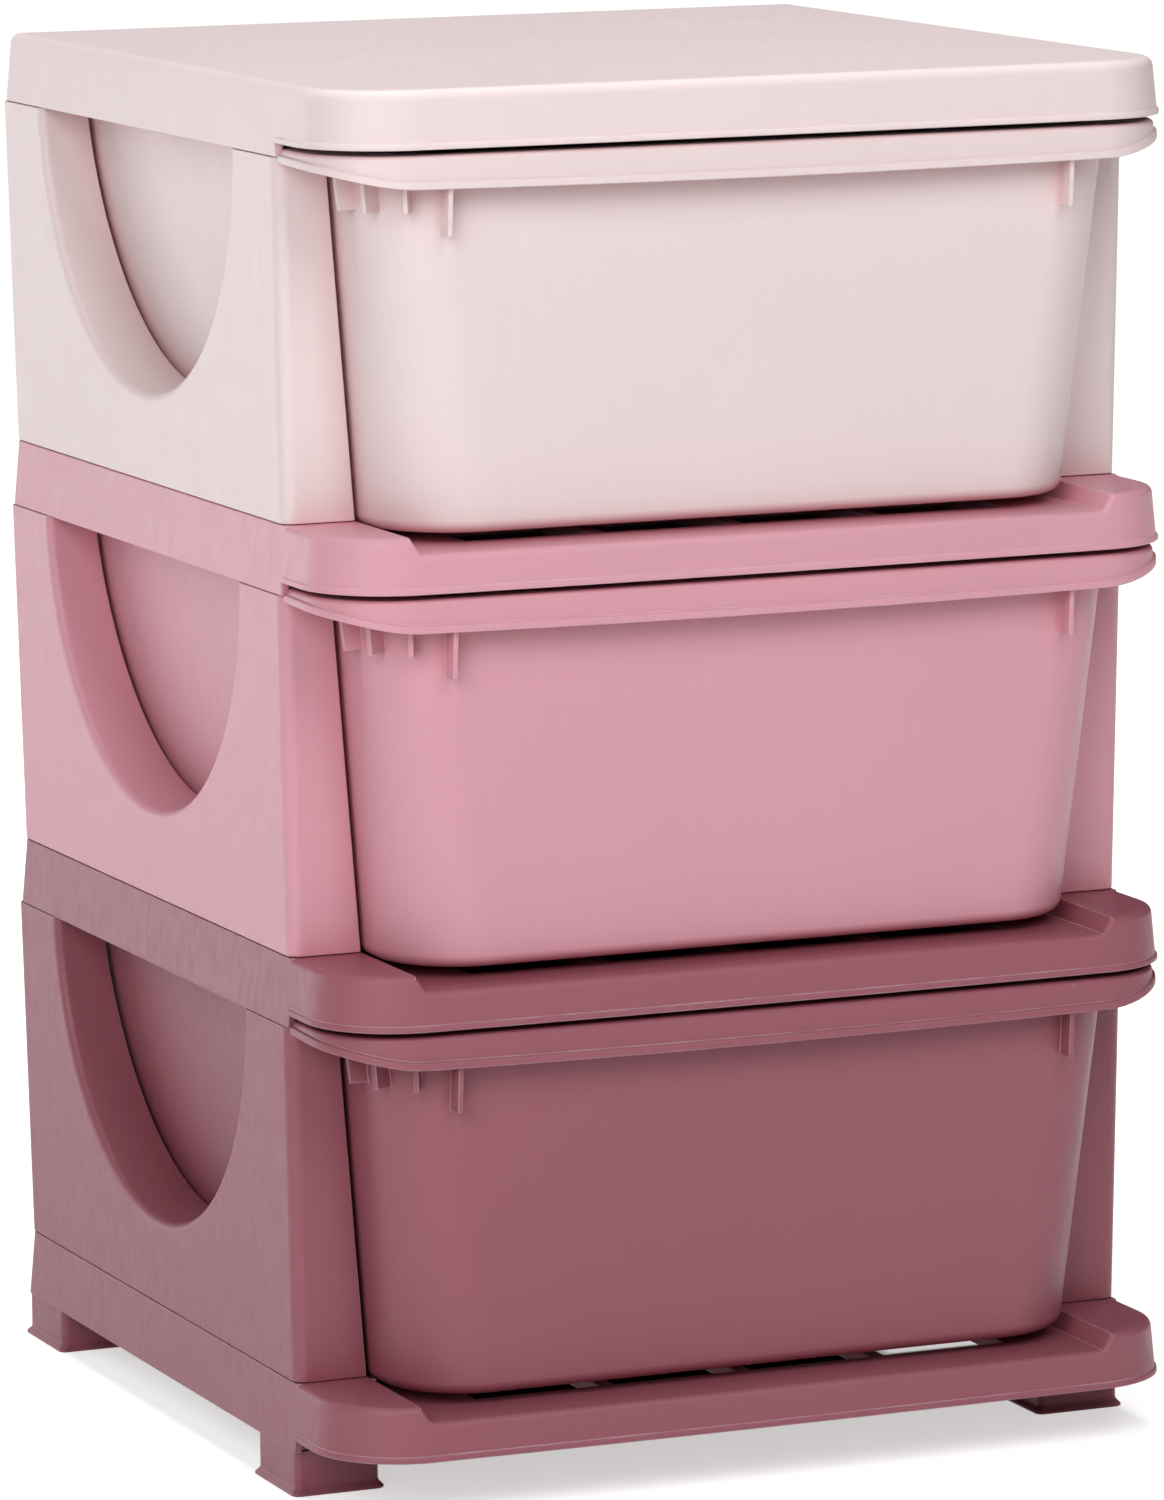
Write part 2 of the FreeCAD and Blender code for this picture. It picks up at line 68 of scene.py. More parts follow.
# Plan of the decks, which the drawers' lips follow
HALF_WIDTH = 185.0 * MM
HALF_DEPTH = 194.0 * MM
SKIRT_HEIGHT = 27.3 * MM
SKIRT_FLARE = 2.6 * MM
HOOD_HEIGHT = 22.0 * MM
HOOD_CORNER = 38.0 * MM
HOOD_BOW = 1.8 * MM
BEAD_PROUD = 0.8 * MM
HOOD_FRONT = BEAD_PROUD - SKIRT_FLARE * (1 - HOOD_HEIGHT / SKIRT_HEIGHT) - HALF_DEPTH
BODY_FRONT = -130.9 * MM
BODY_REAR = HALF_DEPTH - SKIRT_FLARE
BODY_MIDDLE = (BODY_FRONT + BODY_REAR) / 2
HOOD_ROOT = BODY_FRONT - 3.0 * MM
REAR_CORNER = 9.0 * MM
COVER_RISE = 1.1 * MM
CHANNEL_DEPTH = 6.5 * MM
FLANK_RUN = 5.0 * MM
REAR_RIM = 5.0 * MM
SEAT_GAP = 0.3 * MM

# Levels within one tier, counted from its lower seam
PANEL_TOP = TIER_PITCH - SKIRT_HEIGHT - SEAT_GAP
RIM_UNDERSIDE = PANEL_TOP + SEAT_GAP
RIM_TOP = RIM_UNDERSIDE + 3.0 * MM
TOTE_FLOOR = 4.5 * MM - CHANNEL_DEPTH
WINDOW_LEVEL = PANEL_TOP + 5.1 * MM

# Widths that the totes and the panels share
RIM_HALF = HALF_WIDTH - 23.5 * MM
SIDE_SLOPE = 11.7 * MM / (RIM_TOP - TOTE_FLOOR)
SIDE_GAP = 2.6 * MM

# Totes: how far the walls stand back from the hood and the flange, and how far they lean
FRONT_SETBACK = 11.5 * MM
FRONT_DRAFT = 10.0 * MM
REAR_SETBACK = 6.0 * MM
REAR_DRAFT = 6.0 * MM
CORNER_GROWTH = 9.0 * MM
FLANGE_REAR = BODY_REAR - 4.5 * MM
FLANGE_HALF = 175.98 * MM
FLANGE_CORNER = 12.0 * MM

# Lip: its lower edge climbs towards the back and carries a proud rim
LIP_END = HOOD_ROOT - 0.4 * MM
LIP_CLIMB = 8.8 * MM
LIP_CLIMB_RUN = 16.0 * MM
LIP_SETBACK = 2.2 * MM
LIP_FLARE = 1.0 * MM
LIP_WALL = 2.0 * MM
LIP_RIM_HEIGHT = 3.2 * MM
LIP_RIM_PROUD = 1.2 * MM
LIP_SOFT_EDGE = 0.4 * MM

# Fins that fan round the totes' front corners: angles from the side to the front
RIGHT_FINS = (0, 90)
LEFT_FINS = (0, 30, 60, 90)
FIN_DROP = 20.0 * MM
FRONT_FIN_DROP = 29.0 * MM
FIN_ROOT = 4.2 * MM
FIN_REACH = 8.0 * MM
FIN_HALF = 1.0 * MM
FIN_SINK = 1.1 * MM
FIN_TAPER = 2.4 * MM
FIN_EDGE = 0.25 * MM

# Panels, their windows and their tongues
PANEL_WALL = 2.4 * MM
PANEL_LEAN = 1.9 * MM
PANEL_CORNER = 5.5 * MM
WINDOW_CUT = 60 * MM
TONGUE_REACH = 25.0 * MM
TONGUE_LENGTH = 26.0 * MM
TONGUE_PLACES = (BODY_FRONT + TONGUE_REACH, BODY_REAR - TONGUE_REACH)
TONGUE_THICKNESS = 3.0 * MM
TONGUE_TOP = 16.0 * MM
TONGUE_RISE = 15.7 * MM
TONGUE_DEPTH = 10.0 * MM
TONGUE_ROOT = 20.0 * MM
TONGUE_EDGE = 0.4 * MM

# What hangs under the decks: runner ribs, cheeks beside the tongues, lattice, collars for the feet
RIB_WIDTH = 3.0 * MM
RIB_GAP = 1.5 * MM
CHEEK_WIDTH = 2.5 * MM
CHEEK_RISE = 2.0 * MM
LATTICE_SIDE = 68.0 * MM
LATTICE_FRONT = 35.0 * MM
LATTICE_REAR = 44.7 * MM
LATTICE_DEPTH = 3.5 * MM
COLLAR_INSET = 3.1 * MM
COLLAR_WALL = 2.3 * MM
COLLAR_BITE = 0.45

# Feet, and their soles and shanks from below: inset, corner radius and height, in millimetres
FOOT_INSET = 1.8 * MM
FOOT_WIDTH = 36.0 * MM
FOOT_DEPTH = 43.0 * MM
FOOT_SOLE = ((-1.4, 3.0, 0.0), (-1.7, 3.0, 0.3), (-1.8, 3.0, 0.7), (-1.7, 3.0, 1.2),
             (-0.9, 3.0, 2.1), (-0.2, 3.0, 3.0), (0.0, 3.0, 4.0))

# Cutting tools run past the faces that they cut, and close points keep a change of section sharp
OVERRUN = 2.0 * MM
CLOSE = 0.1 * MM

# Facets of the larger roundings, each count for a quarter turn but the bow's and the window's
BOW_FACETS = 8
HOOD_CORNER_FACETS = 13
TOTE_CORNER_FACETS = 14
FOOT_CORNER_FACETS = 5
EDGE_FACETS = 8
WINDOW_FACETS = 144

# Surface of the plastic
SHARP_ANGLE = radians(38)
CLOUD_SCALE, PATCH_SCALE, FINE_SCALE, FLOW_SCALE = 9.0, 60.0, 240.0, 620.0
CLOUD_SPREAD = 0.035
GLOSS_SPREAD = 0.05
# Painted shade in hollows: how far it reaches, and the tint that darkens the colour there
PAINTED_SHADE_REACH = 16.0 * MM
PAINTED_SHADE_TINT = (0.96, 0.74, 0.76)
EDGE_RADIUS = 0.8 * MM

# Floor: it glows more far from the tower, and two patches under the tower are painted dark as
# shade, as the openings in the photographed base are. Each patch has its left, right, front and
# rear limit.
FLOOR_RADIUS = 40.0
FAR_GLOW, FAR_START, FAR_END = 0.48, 0.5, 1.8
SHADE_PATCHES = ((-0.12, 0.195, -0.04, -0.003), (-0.12, 0.14, -0.02, 0.16))
SHADE_SIDE_SOFT, SHADE_END_SOFT = 0.01, 0.004
SHADE_COLOUR = (0.02, 0.012, 0.012)

Sample = namedtuple("Sample", "x y nx ny")

# Lamps: name of the power setting, place, width; all look at one point of the tower
LAMPS = (
    ("key", (-2.0, -2.0, 1.6), 1.8),
    ("high", (0.3, -2.2, 2.2), 1.6),
    ("top", (0.0, 0.2, 2.6), 1.6),
    ("rim", (-1.5, 2.1, 0.7), 1.4),
    ("fill", (2.3, -1.7, 1.1), 1.6),
)
LAMP_AIM = (0, 0, 0.28)


# ---------------------------------------------------------------- settings


def length_setting(name, description, default, low, high):
    """A size, its values given in millimetres."""
    return FloatProperty(name=name, description=description, default=default * MM, min=low * MM,
                         max=high * MM, subtype="DISTANCE", unit="LENGTH")


def factor_setting(name, description, default, low, high):
    """A number without a unit."""
    return FloatProperty(name=name, description=description, default=default, min=low, max=high,
                         subtype="FACTOR")


def count_setting(name, description, default, low, high):
    """A whole number."""
    return IntProperty(name=name, description=description, default=default, min=low, max=high)


def angle_setting(name, description, degrees):
    """An angle, its value given in degrees."""
    return FloatProperty(name=name, description=description, default=radians(degrees),
                         subtype="ANGLE", unit="ROTATION")


def power_setting(name, description, watts):
    """A lamp's power."""
    return FloatProperty(name=name, description=description, default=watts, min=0.0,
                         subtype="POWER", unit="POWER")


def colour_setting(name, description, default):
    """A colour in linear light."""
    return FloatVectorProperty(name=name, description=description, subtype="COLOR", size=3,
                               min=0.0, max=1.0, default=default)


class TowerSizes(bpy.types.PropertyGroup):
    """Sizes of the mouldings that a user would change."""

    wall: length_setting("Skirt wall", "Thickness of the decks' skirts", 3.0, 1.0, 4.0)
    plate: length_setting("Deck plate", "Thickness of the decks' floors", 2.5, 1.0, 4.0)
    cover_rounding: length_setting("Cover edge", "Rounding of the cover's upper edge",
                                   4.5, 1.0, 6.0)
    hood_rounding: length_setting("Hood edge", "Rounding of the shelves' front upper edge",
                                  3.0, 1.0, 5.0)
    soft_edge: length_setting("Soft edge", "Rounding of the mouldings' other edges", 0.5, 0.2, 0.9)
    bead_height: length_setting("Bead", "Height of the bead along the hood's lower edge",
                                2.4, 1.5, 4.0)
    tote_wall: length_setting("Tote wall", "Thickness of a tote's walls and floor", 2.2, 1.0, 3.0)
    tote_corner: length_setting("Tote corner", "Rounding of a tote's upright corners at its rim",
                                28.0, 15.0, 40.0)
    tote_floor_edge: length_setting("Tote floor edge", "Rounding between a tote's walls and floor",
                                    5.0, 4.0, 12.0)
    lip_height: length_setting("Lip height", "Height of a tote's lip at the front",
                               14.0, 10.0, 16.0)
    lip_rounding: length_setting("Lip edge", "Rounding of the lip's upper edge", 2.0, 0.8, 2.5)
    window_radius: length_setting("Window radius", "Radius of the panels' round windows",
                                  114.0, 90.0, 118.0)
    window_rounding: length_setting("Window rim", "Rounding of the windows' outer rim",
                                    3.5, 1.0, 5.0)
    lattice_bar: length_setting("Lattice bar", "Width of the bars in the decks' floors",
                                6.0, 3.0, 10.0)
    lattice_columns: count_setting("Lattice columns", "Openings across a deck's floor", 4, 2, 6)
    lattice_rows: count_setting("Lattice rows", "Openings from front to rear in a deck's floor",
                                5, 2, 8)
    arc_steps: count_setting("Arc steps", "Facets in a quarter turn of a small rounding", 6, 2, 12)


class TowerFinish(bpy.types.PropertyGroup):
    """Colours and surface of the moulded plastics."""

    pale: colour_setting("Pale", "Plastic of the cover and the upper tier", (0.771, 0.645, 0.645))
    rose: colour_setting("Rose", "Plastic of the upper shelf and the middle tier",
                         (0.635, 0.315, 0.375))
    mauve: colour_setting("Mauve", "Plastic of the lower shelf, the lower tier, base and feet",
                          (0.287, 0.093, 0.122))
    roughness: factor_setting("Roughness", "Roughness of the satin surface", 0.46, 0.2, 0.8)
    streaks: factor_setting("Streaks", "Strength of the fine upright flow lines", 0.007, 0.0, 0.3)
    grain: FloatProperty(name="Grain", description="Depth of the surface's fine relief",
                         default=0.000005, min=0.0, max=0.0003, subtype="DISTANCE", unit="LENGTH",
                         precision=6)
    # Edge wear: the edges are lightened both as wear and as a painted highlight
    wear_and_highlight: factor_setting("Edge wear", "How far rubbed edges lighten", 0.85, 0.0, 1.0)


class TowerStage(bpy.types.PropertyGroup):
    """Camera, lamps and floor."""

    azimuth: angle_setting("Azimuth", "Camera's turn round the tower from its front", -22.8601)
    elevation: angle_setting("Elevation", "Camera's height as an angle above level", 8.9763)
    roll: angle_setting("Roll", "Camera's turn about its own line of sight", -0.5308)
    distance: FloatProperty(name="Distance", description="Camera's distance from its target",
                            default=3.4856, min=1.0, subtype="DISTANCE", unit="LENGTH")
    target: FloatVectorProperty(name="Target", description="Point that the camera looks at", size=3,
                                subtype="TRANSLATION", unit="LENGTH",
                                default=(0.01099, 0.0288, 0.26605))
    lens: FloatProperty(name="Lens", description="Focal length in millimetres on a 36 mm frame",
                        default=198.49, min=20.0)
    key: power_setting("Key lamp", "Power of the broad lamp in front at the left", 49.0)
    high: power_setting("High lamp", "Power of the lamp in front and above", 33.0)
    top: power_setting("Top lamp", "Power of the lamp overhead", 38.0)
    rim: power_setting("Rim lamp", "Power of the lamp behind at the left", 17.0)
    fill: power_setting("Fill lamp", "Power of the lamp in front at the right", 5.0)
    glow: FloatProperty(name="Floor glow", description="Strength of the white floor's own light",
                        default=0.56, min=0.0)
    ambient: FloatProperty(name="Ambient", description="Strength of the surrounding light",
                           default=0.01, min=0.0)
    floor_colour: colour_setting("Floor", "Colour of the floor and backdrop", (0.86, 0.855, 0.855))


# ---------------------------------------------------------------- mesh tools


def steps(start, end, count):
    """Evenly spaced values from start to end, both included."""
    return [start + (end - start) * i / count for i in range(count + 1)]


def bridge(mesh, one, other, closed=True):
    """Faces between two runs of points."""
    count = len(one)
    for i in range(count if closed else count - 1):
        j = (i + 1) % count
        mesh.faces.new((one[i], one[j], other[j], other[i]))


def run_of(mesh, points):
    """New vertices through points."""
    return [mesh.verts.new(p) for p in points]


def stacked(rings):
    """Closed mesh through rings of equal counts, with a flat face at either end."""
    mesh = bmesh.new()
    runs = [run_of(mesh, ring) for ring in rings]
    for one, other in zip(runs, runs[1:]):
        bridge(mesh, one, other)
    mesh.faces.new(runs[0])
    mesh.faces.new(runs[-1])
    return mesh


def blocks(limits, rounding=0.0):
    """Mesh of separate blocks, each from its six limits, with an optional small bevel."""
    mesh = bmesh.new()
    for x0, x1, y0, y1, z0, z1 in limits:
        place = Matrix.Translation(((x0 + x1) / 2, (y0 + y1) / 2, (z0 + z1) / 2))
        size = Matrix.Diagonal((x1 - x0, y1 - y0, z1 - z0, 1))
        bmesh.ops.create_cube(mesh, size=1, matrix=place @ size)
    if rounding > 0:
        bmesh.ops.bevel(mesh, geom=mesh.edges[:], offset=rounding, segments=2, profile=0.5,
                        affect="EDGES")
    return mesh


def linked(name, mesh):
    """Object in the scene from a mesh in the making, which is used up."""
    data = bpy.data.meshes.new(name)
    mesh.to_mesh(data)
    mesh.free()
    made = bpy.data.objects.new(name, data)
    bpy.context.scene.collection.objects.link(made)
    return made


def rounded_plan(x0, x1, y0, y1, radius, z, facets):
    """Four-sided plan with rounded corners, at a height."""
    corners = ((x1 - radius, y0 + radius), (x1 - radius, y1 - radius),
               (x0 + radius, y1 - radius), (x0 + radius, y0 + radius))
    points = []
    for quarter, (x, y) in enumerate(corners):
        for a in steps((quarter - 1) * pi / 2, quarter * pi / 2, facets):
            points.append((x + radius * cos(a), y + radius * sin(a), z))
    return points


def mesh_object(name, mesh):
    """Object from a mesh in the making, cleaned and with its faces turned outwards."""
    bmesh.ops.remove_doubles(mesh, verts=mesh.verts, dist=1e-7)
    bmesh.ops.dissolve_degenerate(mesh, edges=mesh.edges, dist=1e-7)
    bmesh.ops.recalc_face_normals(mesh, faces=mesh.faces)
    return linked(name, mesh)


def combine(target, mesh, operation):
    """Join a tool mesh to the target, or cut it out, and stop if the target is mostly lost."""
    tool = mesh_object("tool", mesh)
    modifier = target.modifiers.new("combine", "BOOLEAN")
    modifier.operation = operation
    modifier.solver = "EXACT"
    modifier.object = tool
    graph = bpy.context.evaluated_depsgraph_get()
    settled = bpy.data.meshes.new_from_object(target.evaluated_get(graph))
    target.modifiers.clear()
    kept = len(settled.polygons) > len(target.data.polygons) / 2
    old, target.data = target.data, settled
    bpy.data.meshes.remove(old)
    bpy.data.objects.remove(tool)
    if not kept:
        raise RuntimeError(target.name + " vanished while it was being cut")


def smoothed(piece, finish, body, node):
    """Shade a finished piece, give it its plastic, and seat it in the frame."""
    data = piece.data
    data.name = piece.name
    data.shade_smooth()
    data.set_sharp_from_angle(angle=SHARP_ANGLE)
    weights = piece.modifiers.new("even shading", "WEIGHTED_NORMAL")
    weights.keep_sharp = True
    weights.weight = 80
    data.materials.clear()
    data.materials.append(finish)
    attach(piece, body)
    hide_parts(node)


def copied(source, name, height, mirror=False):
    """Copy of a settled mesh, lifted to a height and, if asked, mirrored to the other side."""
    mesh = bmesh.new()
    mesh.from_mesh(source)
    change = Matrix.Translation((0, 0, height))
    if mirror:
        change = change @ Matrix.Diagonal((-1, 1, 1, 1))
    bmesh.ops.transform(mesh, matrix=change, verts=mesh.verts)
    if mirror:
        bmesh.ops.reverse_faces(mesh, faces=mesh.faces)
    return linked(name, mesh)


# ---------------------------------------------------------------- plastics


def node_material(name):
    """New material with an empty tree, and a way to add nodes to it."""
    material = bpy.data.materials.new(name)
    material.use_nodes = True
    tree = material.node_tree
    tree.nodes.clear()

    def node(kind, inputs, **values):
        """New node with its properties and inputs: each input takes a link or a constant."""
        made = tree.nodes.new("ShaderNode" + kind)
        for key, value in values.items():
            setattr(made, key, value)
        for key, value in inputs.items():
            if isinstance(value, bpy.types.NodeSocket):
                tree.links.new(value, made.inputs[key])
            else:
                made.inputs[key].default_value = value
        return made

    return material, node


def opaque(colour, factor=1.0, lift=0.0):
    """A colour scaled and lifted, with full alpha for a node's input."""
    return tuple(min(1, lift + c * factor) for c in colour) + (1,)


def moulded_plastic(slot, finish, colour):
    """Satin moulded plastic: cloudy tone, painted shade in hollows, faint flow lines, grain, edges
    lightened as wear and painted highlight.
    """
    name = "moulded_" + slot
    if name in bpy.data.materials:
        return bpy.data.materials[name]
    material, node = node_material(name)

    def noise(scale, detail, stretch):
        mapped = node("Mapping", {"Vector": place, "Scale": stretch}).outputs["Vector"]
        made = node("TexNoise", {"Vector": mapped, "Scale": scale, "Detail": detail})
        return made.outputs["Fac"]

    def ranged(value, low, high, new_low, new_high):
        made = node("MapRange", {"Value": value, "From Min": low, "From Max": high,
                                 "To Min": new_low, "To Max": new_high})
        return made.outputs["Result"]

    def blend(factor, one, other):
        made = node("Mix", {"Factor": factor, "A": one, "B": other}, data_type="RGBA")
        return made.outputs["Result"]

    def maths(operation, one, other):
        return node("Math", {0: one, 1: other}, operation=operation).outputs["Value"]

    # Tone: slow clouds, painted shade that darkens and tints the hollows, upright streaks
    place = node("TexCoord", {}).outputs["Object"]
    clouds = noise(CLOUD_SCALE, 2.0, (1, 1, 0.6))
    flow = noise(FLOW_SCALE, 3.0, (1, 1, 0.022))
    tone = blend(clouds, opaque(colour, 1 - CLOUD_SPREAD), opaque(colour, 1 + CLOUD_SPREAD))
    # Painted shade: where ambient occlusion finds a hollow, the tone turns darker and pinker
    hollow = node("AmbientOcclusion", {"Distance": PAINTED_SHADE_REACH}, samples=6).outputs["AO"]
    shade_tint = opaque([c * share for c, share in zip(colour, PAINTED_SHADE_TINT)])
    shaded_tone = blend(ranged(hollow, 0.92, 0.30, 0.0, 1.0), tone, shade_tint)
    streaks = ranged(flow, 0.3, 0.7, 1 - finish.streaks, 1 + finish.streaks)
    streaked = node("VectorMath", {"Vector": shaded_tone, "Scale": streaks}, operation="SCALE")

    # Edges are lighter, in patches, where a rounded normal leaves the face's own: edge wear with a
    # painted highlight along the edges
    bevel = node("Bevel", {"Radius": EDGE_RADIUS}, samples=4).outputs["Normal"]
    own = node("NewGeometry", {}).outputs["Normal"]
    facing = node("VectorMath", {0: bevel, 1: own}, operation="DOT_PRODUCT").outputs["Value"]
    rubbed_and_lit = ranged(facing, 0.985, 0.85, 0.0, 1.0)
    patchy = ranged(noise(PATCH_SCALE, 3.0, (1, 1, 1)), 0.35, 0.65, 0.4, 1.0)
    wear_and_highlight = maths("MULTIPLY", maths("MULTIPLY", rubbed_and_lit, patchy), finish.wear_and_highlight)
    worn_and_highlit = blend(wear_and_highlight, streaked.outputs["Vector"], opaque(colour, 0.4, 0.6))

    # Gloss that varies a little with the grain, and a relief of flow lines and grain
    fine = noise(FINE_SCALE, 4.0, (1, 1, 0.35))
    gloss = ranged(fine, 0.3, 0.7, finish.roughness - GLOSS_SPREAD,
                   finish.roughness + GLOSS_SPREAD)
    bump = node("Bump", {"Strength": 0.35, "Distance": finish.grain,
                         "Height": maths("ADD", flow, fine), "Normal": bevel})
    shader = node("BsdfPrincipled", {"Base Color": worn_and_highlit, "Roughness": gloss, "IOR": 1.49,
                                     "Specular IOR Level": 0.35,
                                     "Normal": bump.outputs["Normal"]})
    node("OutputMaterial", {"Surface": shader.outputs["BSDF"]})
    return material


def plastic_for(slot):
    """The material of a slot, from the scene's settings."""
    finish = bpy.context.scene.tower_finish
    return moulded_plastic(slot, finish, getattr(finish, slot.split("_")[0]))


# ---------------------------------------------------------------- decks


def tote_half(z):
    """Half a tote's outer width at a height in its tier."""
    return RIM_HALF - SIDE_SLOPE * (RIM_TOP - z)


def panel_inner(z):
    """Distance of a panel's inner face from the middle plane."""
    return tote_half(z) + SIDE_GAP


def panel_outer(z):
    """Distance of a panel's outer face from the middle plane."""
    return HALF_WIDTH - SKIRT_FLARE + SKIRT_FLARE * z / (TIER_PITCH - SKIRT_HEIGHT)


def skirt_grow(z):
    """How far a skirt stands from its widest line at a height below its seam."""
    return -SKIRT_FLARE * (1 + z / SKIRT_HEIGHT)


FLANK_TOP = panel_inner(0)
FLANK_FOOT = FLANK_TOP - FLANK_RUN


def hood_samples():
    """Right half of the bowed front and its large corner, from the middle to the side."""
    span = HALF_WIDTH - HOOD_CORNER
    bow = (span ** 2 + HOOD_BOW ** 2) / (2 * HOOD_BOW)
    centre = HOOD_FRONT + bow
    corner_y = centre - sqrt((bow - HOOD_CORNER) ** 2 - span ** 2)
    samples = [Sample(bow * sin(a), centre - bow * cos(a), sin(a), -cos(a))
               for a in steps(0, asin(FLANK_FOOT / bow), BOW_FACETS)]
    top = asin((FLANK_TOP - span) / HOOD_CORNER)
    turn = asin(span / (bow - HOOD_CORNER))
    for a in [(turn + top) / 2] + steps(top, pi / 2, HOOD_CORNER_FACETS):
        samples.append(Sample(span + HOOD_CORNER * sin(a), corner_y - HOOD_CORNER * cos(a),
                              sin(a), -cos(a)))
    return samples


def side_samples():
    """Right side behind the hood, with close pairs of samples where the section changes."""
    lines = (HOOD_ROOT - CLOSE, HOOD_ROOT + CLOSE, BODY_FRONT - CLOSE, BODY_FRONT + CLOSE)
    return [Sample(HALF_WIDTH, y, 1, 0) for y in lines]


def rear_samples(hood):
    """Rear edge and its corner, one sample straight behind each of the hood's."""
    samples = []
    for s in hood:
        turn = max(0.0, (s.x - HALF_WIDTH + REAR_CORNER) / REAR_CORNER)
        rise = sqrt(max(0.0, 1 - turn ** 2))
        samples.append(Sample(s.x, HALF_DEPTH - REAR_CORNER + REAR_CORNER * rise, turn, rise))
    return samples


def mirrored_samples(samples):
    """The same samples on the left, in reverse."""
    return [Sample(-s.x, s.y, -s.nx, s.ny) for s in reversed(samples)]


def shelf_top(x):
    """Height of a shelf's upper face across its width: pads, sloped flanks and channel."""
    share = (abs(x) - FLANK_FOOT) / FLANK_RUN
    return -CHANNEL_DEPTH * (1 - min(1.0, max(0.0, share)))


def deck_section(s, top, ceiling, rounding, sizes):
    """Section of a deck at one sample: the hollow's ceiling, the lower edge, the upper edge."""
    ahead = s.y < HOOD_ROOT
    low = -HOOD_HEIGHT if ahead else -SKIRT_HEIGHT
    bead = BEAD_PROUD if ahead else 0
    soft = sizes.soft_edge
    nip = 0.3 * soft
    crest = low + sizes.bead_height
    points = [(-sizes.wall, ceiling), (-sizes.wall, low + soft), (-sizes.wall + nip, low + nip),
              (-sizes.wall + soft, low), (bead - soft, low), (bead - nip, low + nip),
              (bead, low + soft), (bead, crest - soft), (bead * 0.6, crest - 0.2 * soft),
              (0, crest + nip)]
    points = [(grow + skirt_grow(z), z) for grow, z in points]
    brow = top - rounding
    for a in steps(0, pi / 2, sizes.arc_steps):
        points.append((skirt_grow(brow) - rounding * (1 - cos(a)), brow + rounding * sin(a)))
    return [(s.x + s.nx * grow, s.y + s.ny * grow, z) for grow, z in points]


def deck_shell(name, sizes, top_at, rounding_at):
    """A deck's skirt, hood and floor as one closed moulding."""
    hood, side = hood_samples(), side_samples()
    rear = rear_samples(hood)
    last = len(hood) - 1
    loop = mirrored_samples(hood)[:-1] + hood + side + rear[::-1]
    loop += [Sample(-s.x, s.y, -s.nx, s.ny) for s in rear[1:]] + mirrored_samples(side)
    mesh = bmesh.new()
    channel_end = BODY_REAR - REAR_RIM
    sections = []
    for s in loop:
        top = top_at(s.x) if s.y < channel_end else max(top_at(s.x), 0)
        sections.append(deck_section(s, top, top_at(s.x) - sizes.plate, rounding_at(s), sizes))
    rings = [run_of(mesh, ring) for ring in zip(*sections)]
    for one, other in zip(rings, rings[1:]):
        bridge(mesh, one, other)

    def column(ring, i):
        """Points of the loop from front to rear at one station across the width."""
        front, back = ring[last + i], ring[3 * last + len(side) + 1 - i]
        if i == last:
            return ring[2 * last:2 * last + len(side) + 2]
        if i == -last:
            return [ring[0]] + ring[:-len(side) - 1:-1] + [back]
        return [front, back]

    stepped = {}
    for i in range(-last, last + 1):
        x = loop[last + i].x
        if top_at(0) < 0 and abs(x) < FLANK_TOP + CLOSE / 10:
            stepped[i] = run_of(mesh, [(x, channel_end, top_at(x)), (x, channel_end, 0)])
    for i in range(-last, last):
        left, right = column(rings[-1], i), column(rings[-1], i + 1)
        if i in stepped and i + 1 in stepped:
            one, other = stepped[i], stepped[i + 1]
            mesh.faces.new((left[0], right[0], other[0], one[0]))
            mesh.faces.new((one[0], other[0], other[1], one[1]))
            mesh.faces.new((one[1], other[1], right[1], left[1]))
        else:
            if i in stepped:
                left = [left[0], stepped[i][0], left[1]]
            if i + 1 in stepped:
                right = [right[0], stepped[i + 1][0], right[1]]
            mesh.faces.new(right + left[::-1])
        low_left, low_right = column(rings[0], i), column(rings[0], i + 1)
        mesh.faces.new(low_left + low_right[::-1])
    return mesh_object(name, mesh)


def paired(limits):
    """Right-hand blocks together with their left-hand twins."""
    return limits + [(-x1, -x0, y0, y1, z0, z1) for x0, x1, y0, y1, z0, z1 in limits]


def skirt_inner(z, sizes):
    """Distance of a skirt's inner face from the middle plane."""
    return HALF_WIDTH + skirt_grow(z) - sizes.wall


def tongue_lines(sizes):
    """Outer and inner faces of the upper tongues, then of the lower ones."""
    upper_outer = skirt_inner(TONGUE_TOP - SKIRT_HEIGHT, sizes) - SEAT_GAP
    lower_outer = upper_outer - 2 * TONGUE_THICKNESS
    return (upper_outer, upper_outer - TONGUE_THICKNESS,
            lower_outer, lower_outer - TONGUE_THICKNESS)


def runner_limits(sizes):
    """Ribs that hold the flanges down, and the cheeks beside each tongue."""
    outer = tongue_lines(sizes)[3] - RIB_GAP
    low = -(TIER_PITCH - RIM_TOP - SEAT_GAP)
    ribs = [(outer - RIB_WIDTH, outer, HOOD_ROOT, BODY_REAR - sizes.wall / 2, low,
             -sizes.plate / 2)]
    cheeks = []
    for middle in TONGUE_PLACES:
        for side in (-1, 1):
            near = middle + side * (TONGUE_LENGTH / 2 + SEAT_GAP)
            ends = sorted((near, near + side * CHEEK_WIDTH))
            cheeks.append((outer - RIB_WIDTH / 2, skirt_inner(0, sizes) + sizes.wall / 2, *ends,
                           low + CHEEK_RISE, -sizes.plate / 2))
    return paired(ribs), paired(cheeks)


def slot_limits(sizes):
    """Slots in the pads for the lower tongues."""
    outer, inner = tongue_lines(sizes)[2:]
    half = TONGUE_LENGTH / 2 + SEAT_GAP
    return paired([(inner - SEAT_GAP, outer + SEAT_GAP, middle - half, middle + half,
                    -sizes.plate - OVERRUN, OVERRUN) for middle in TONGUE_PLACES])


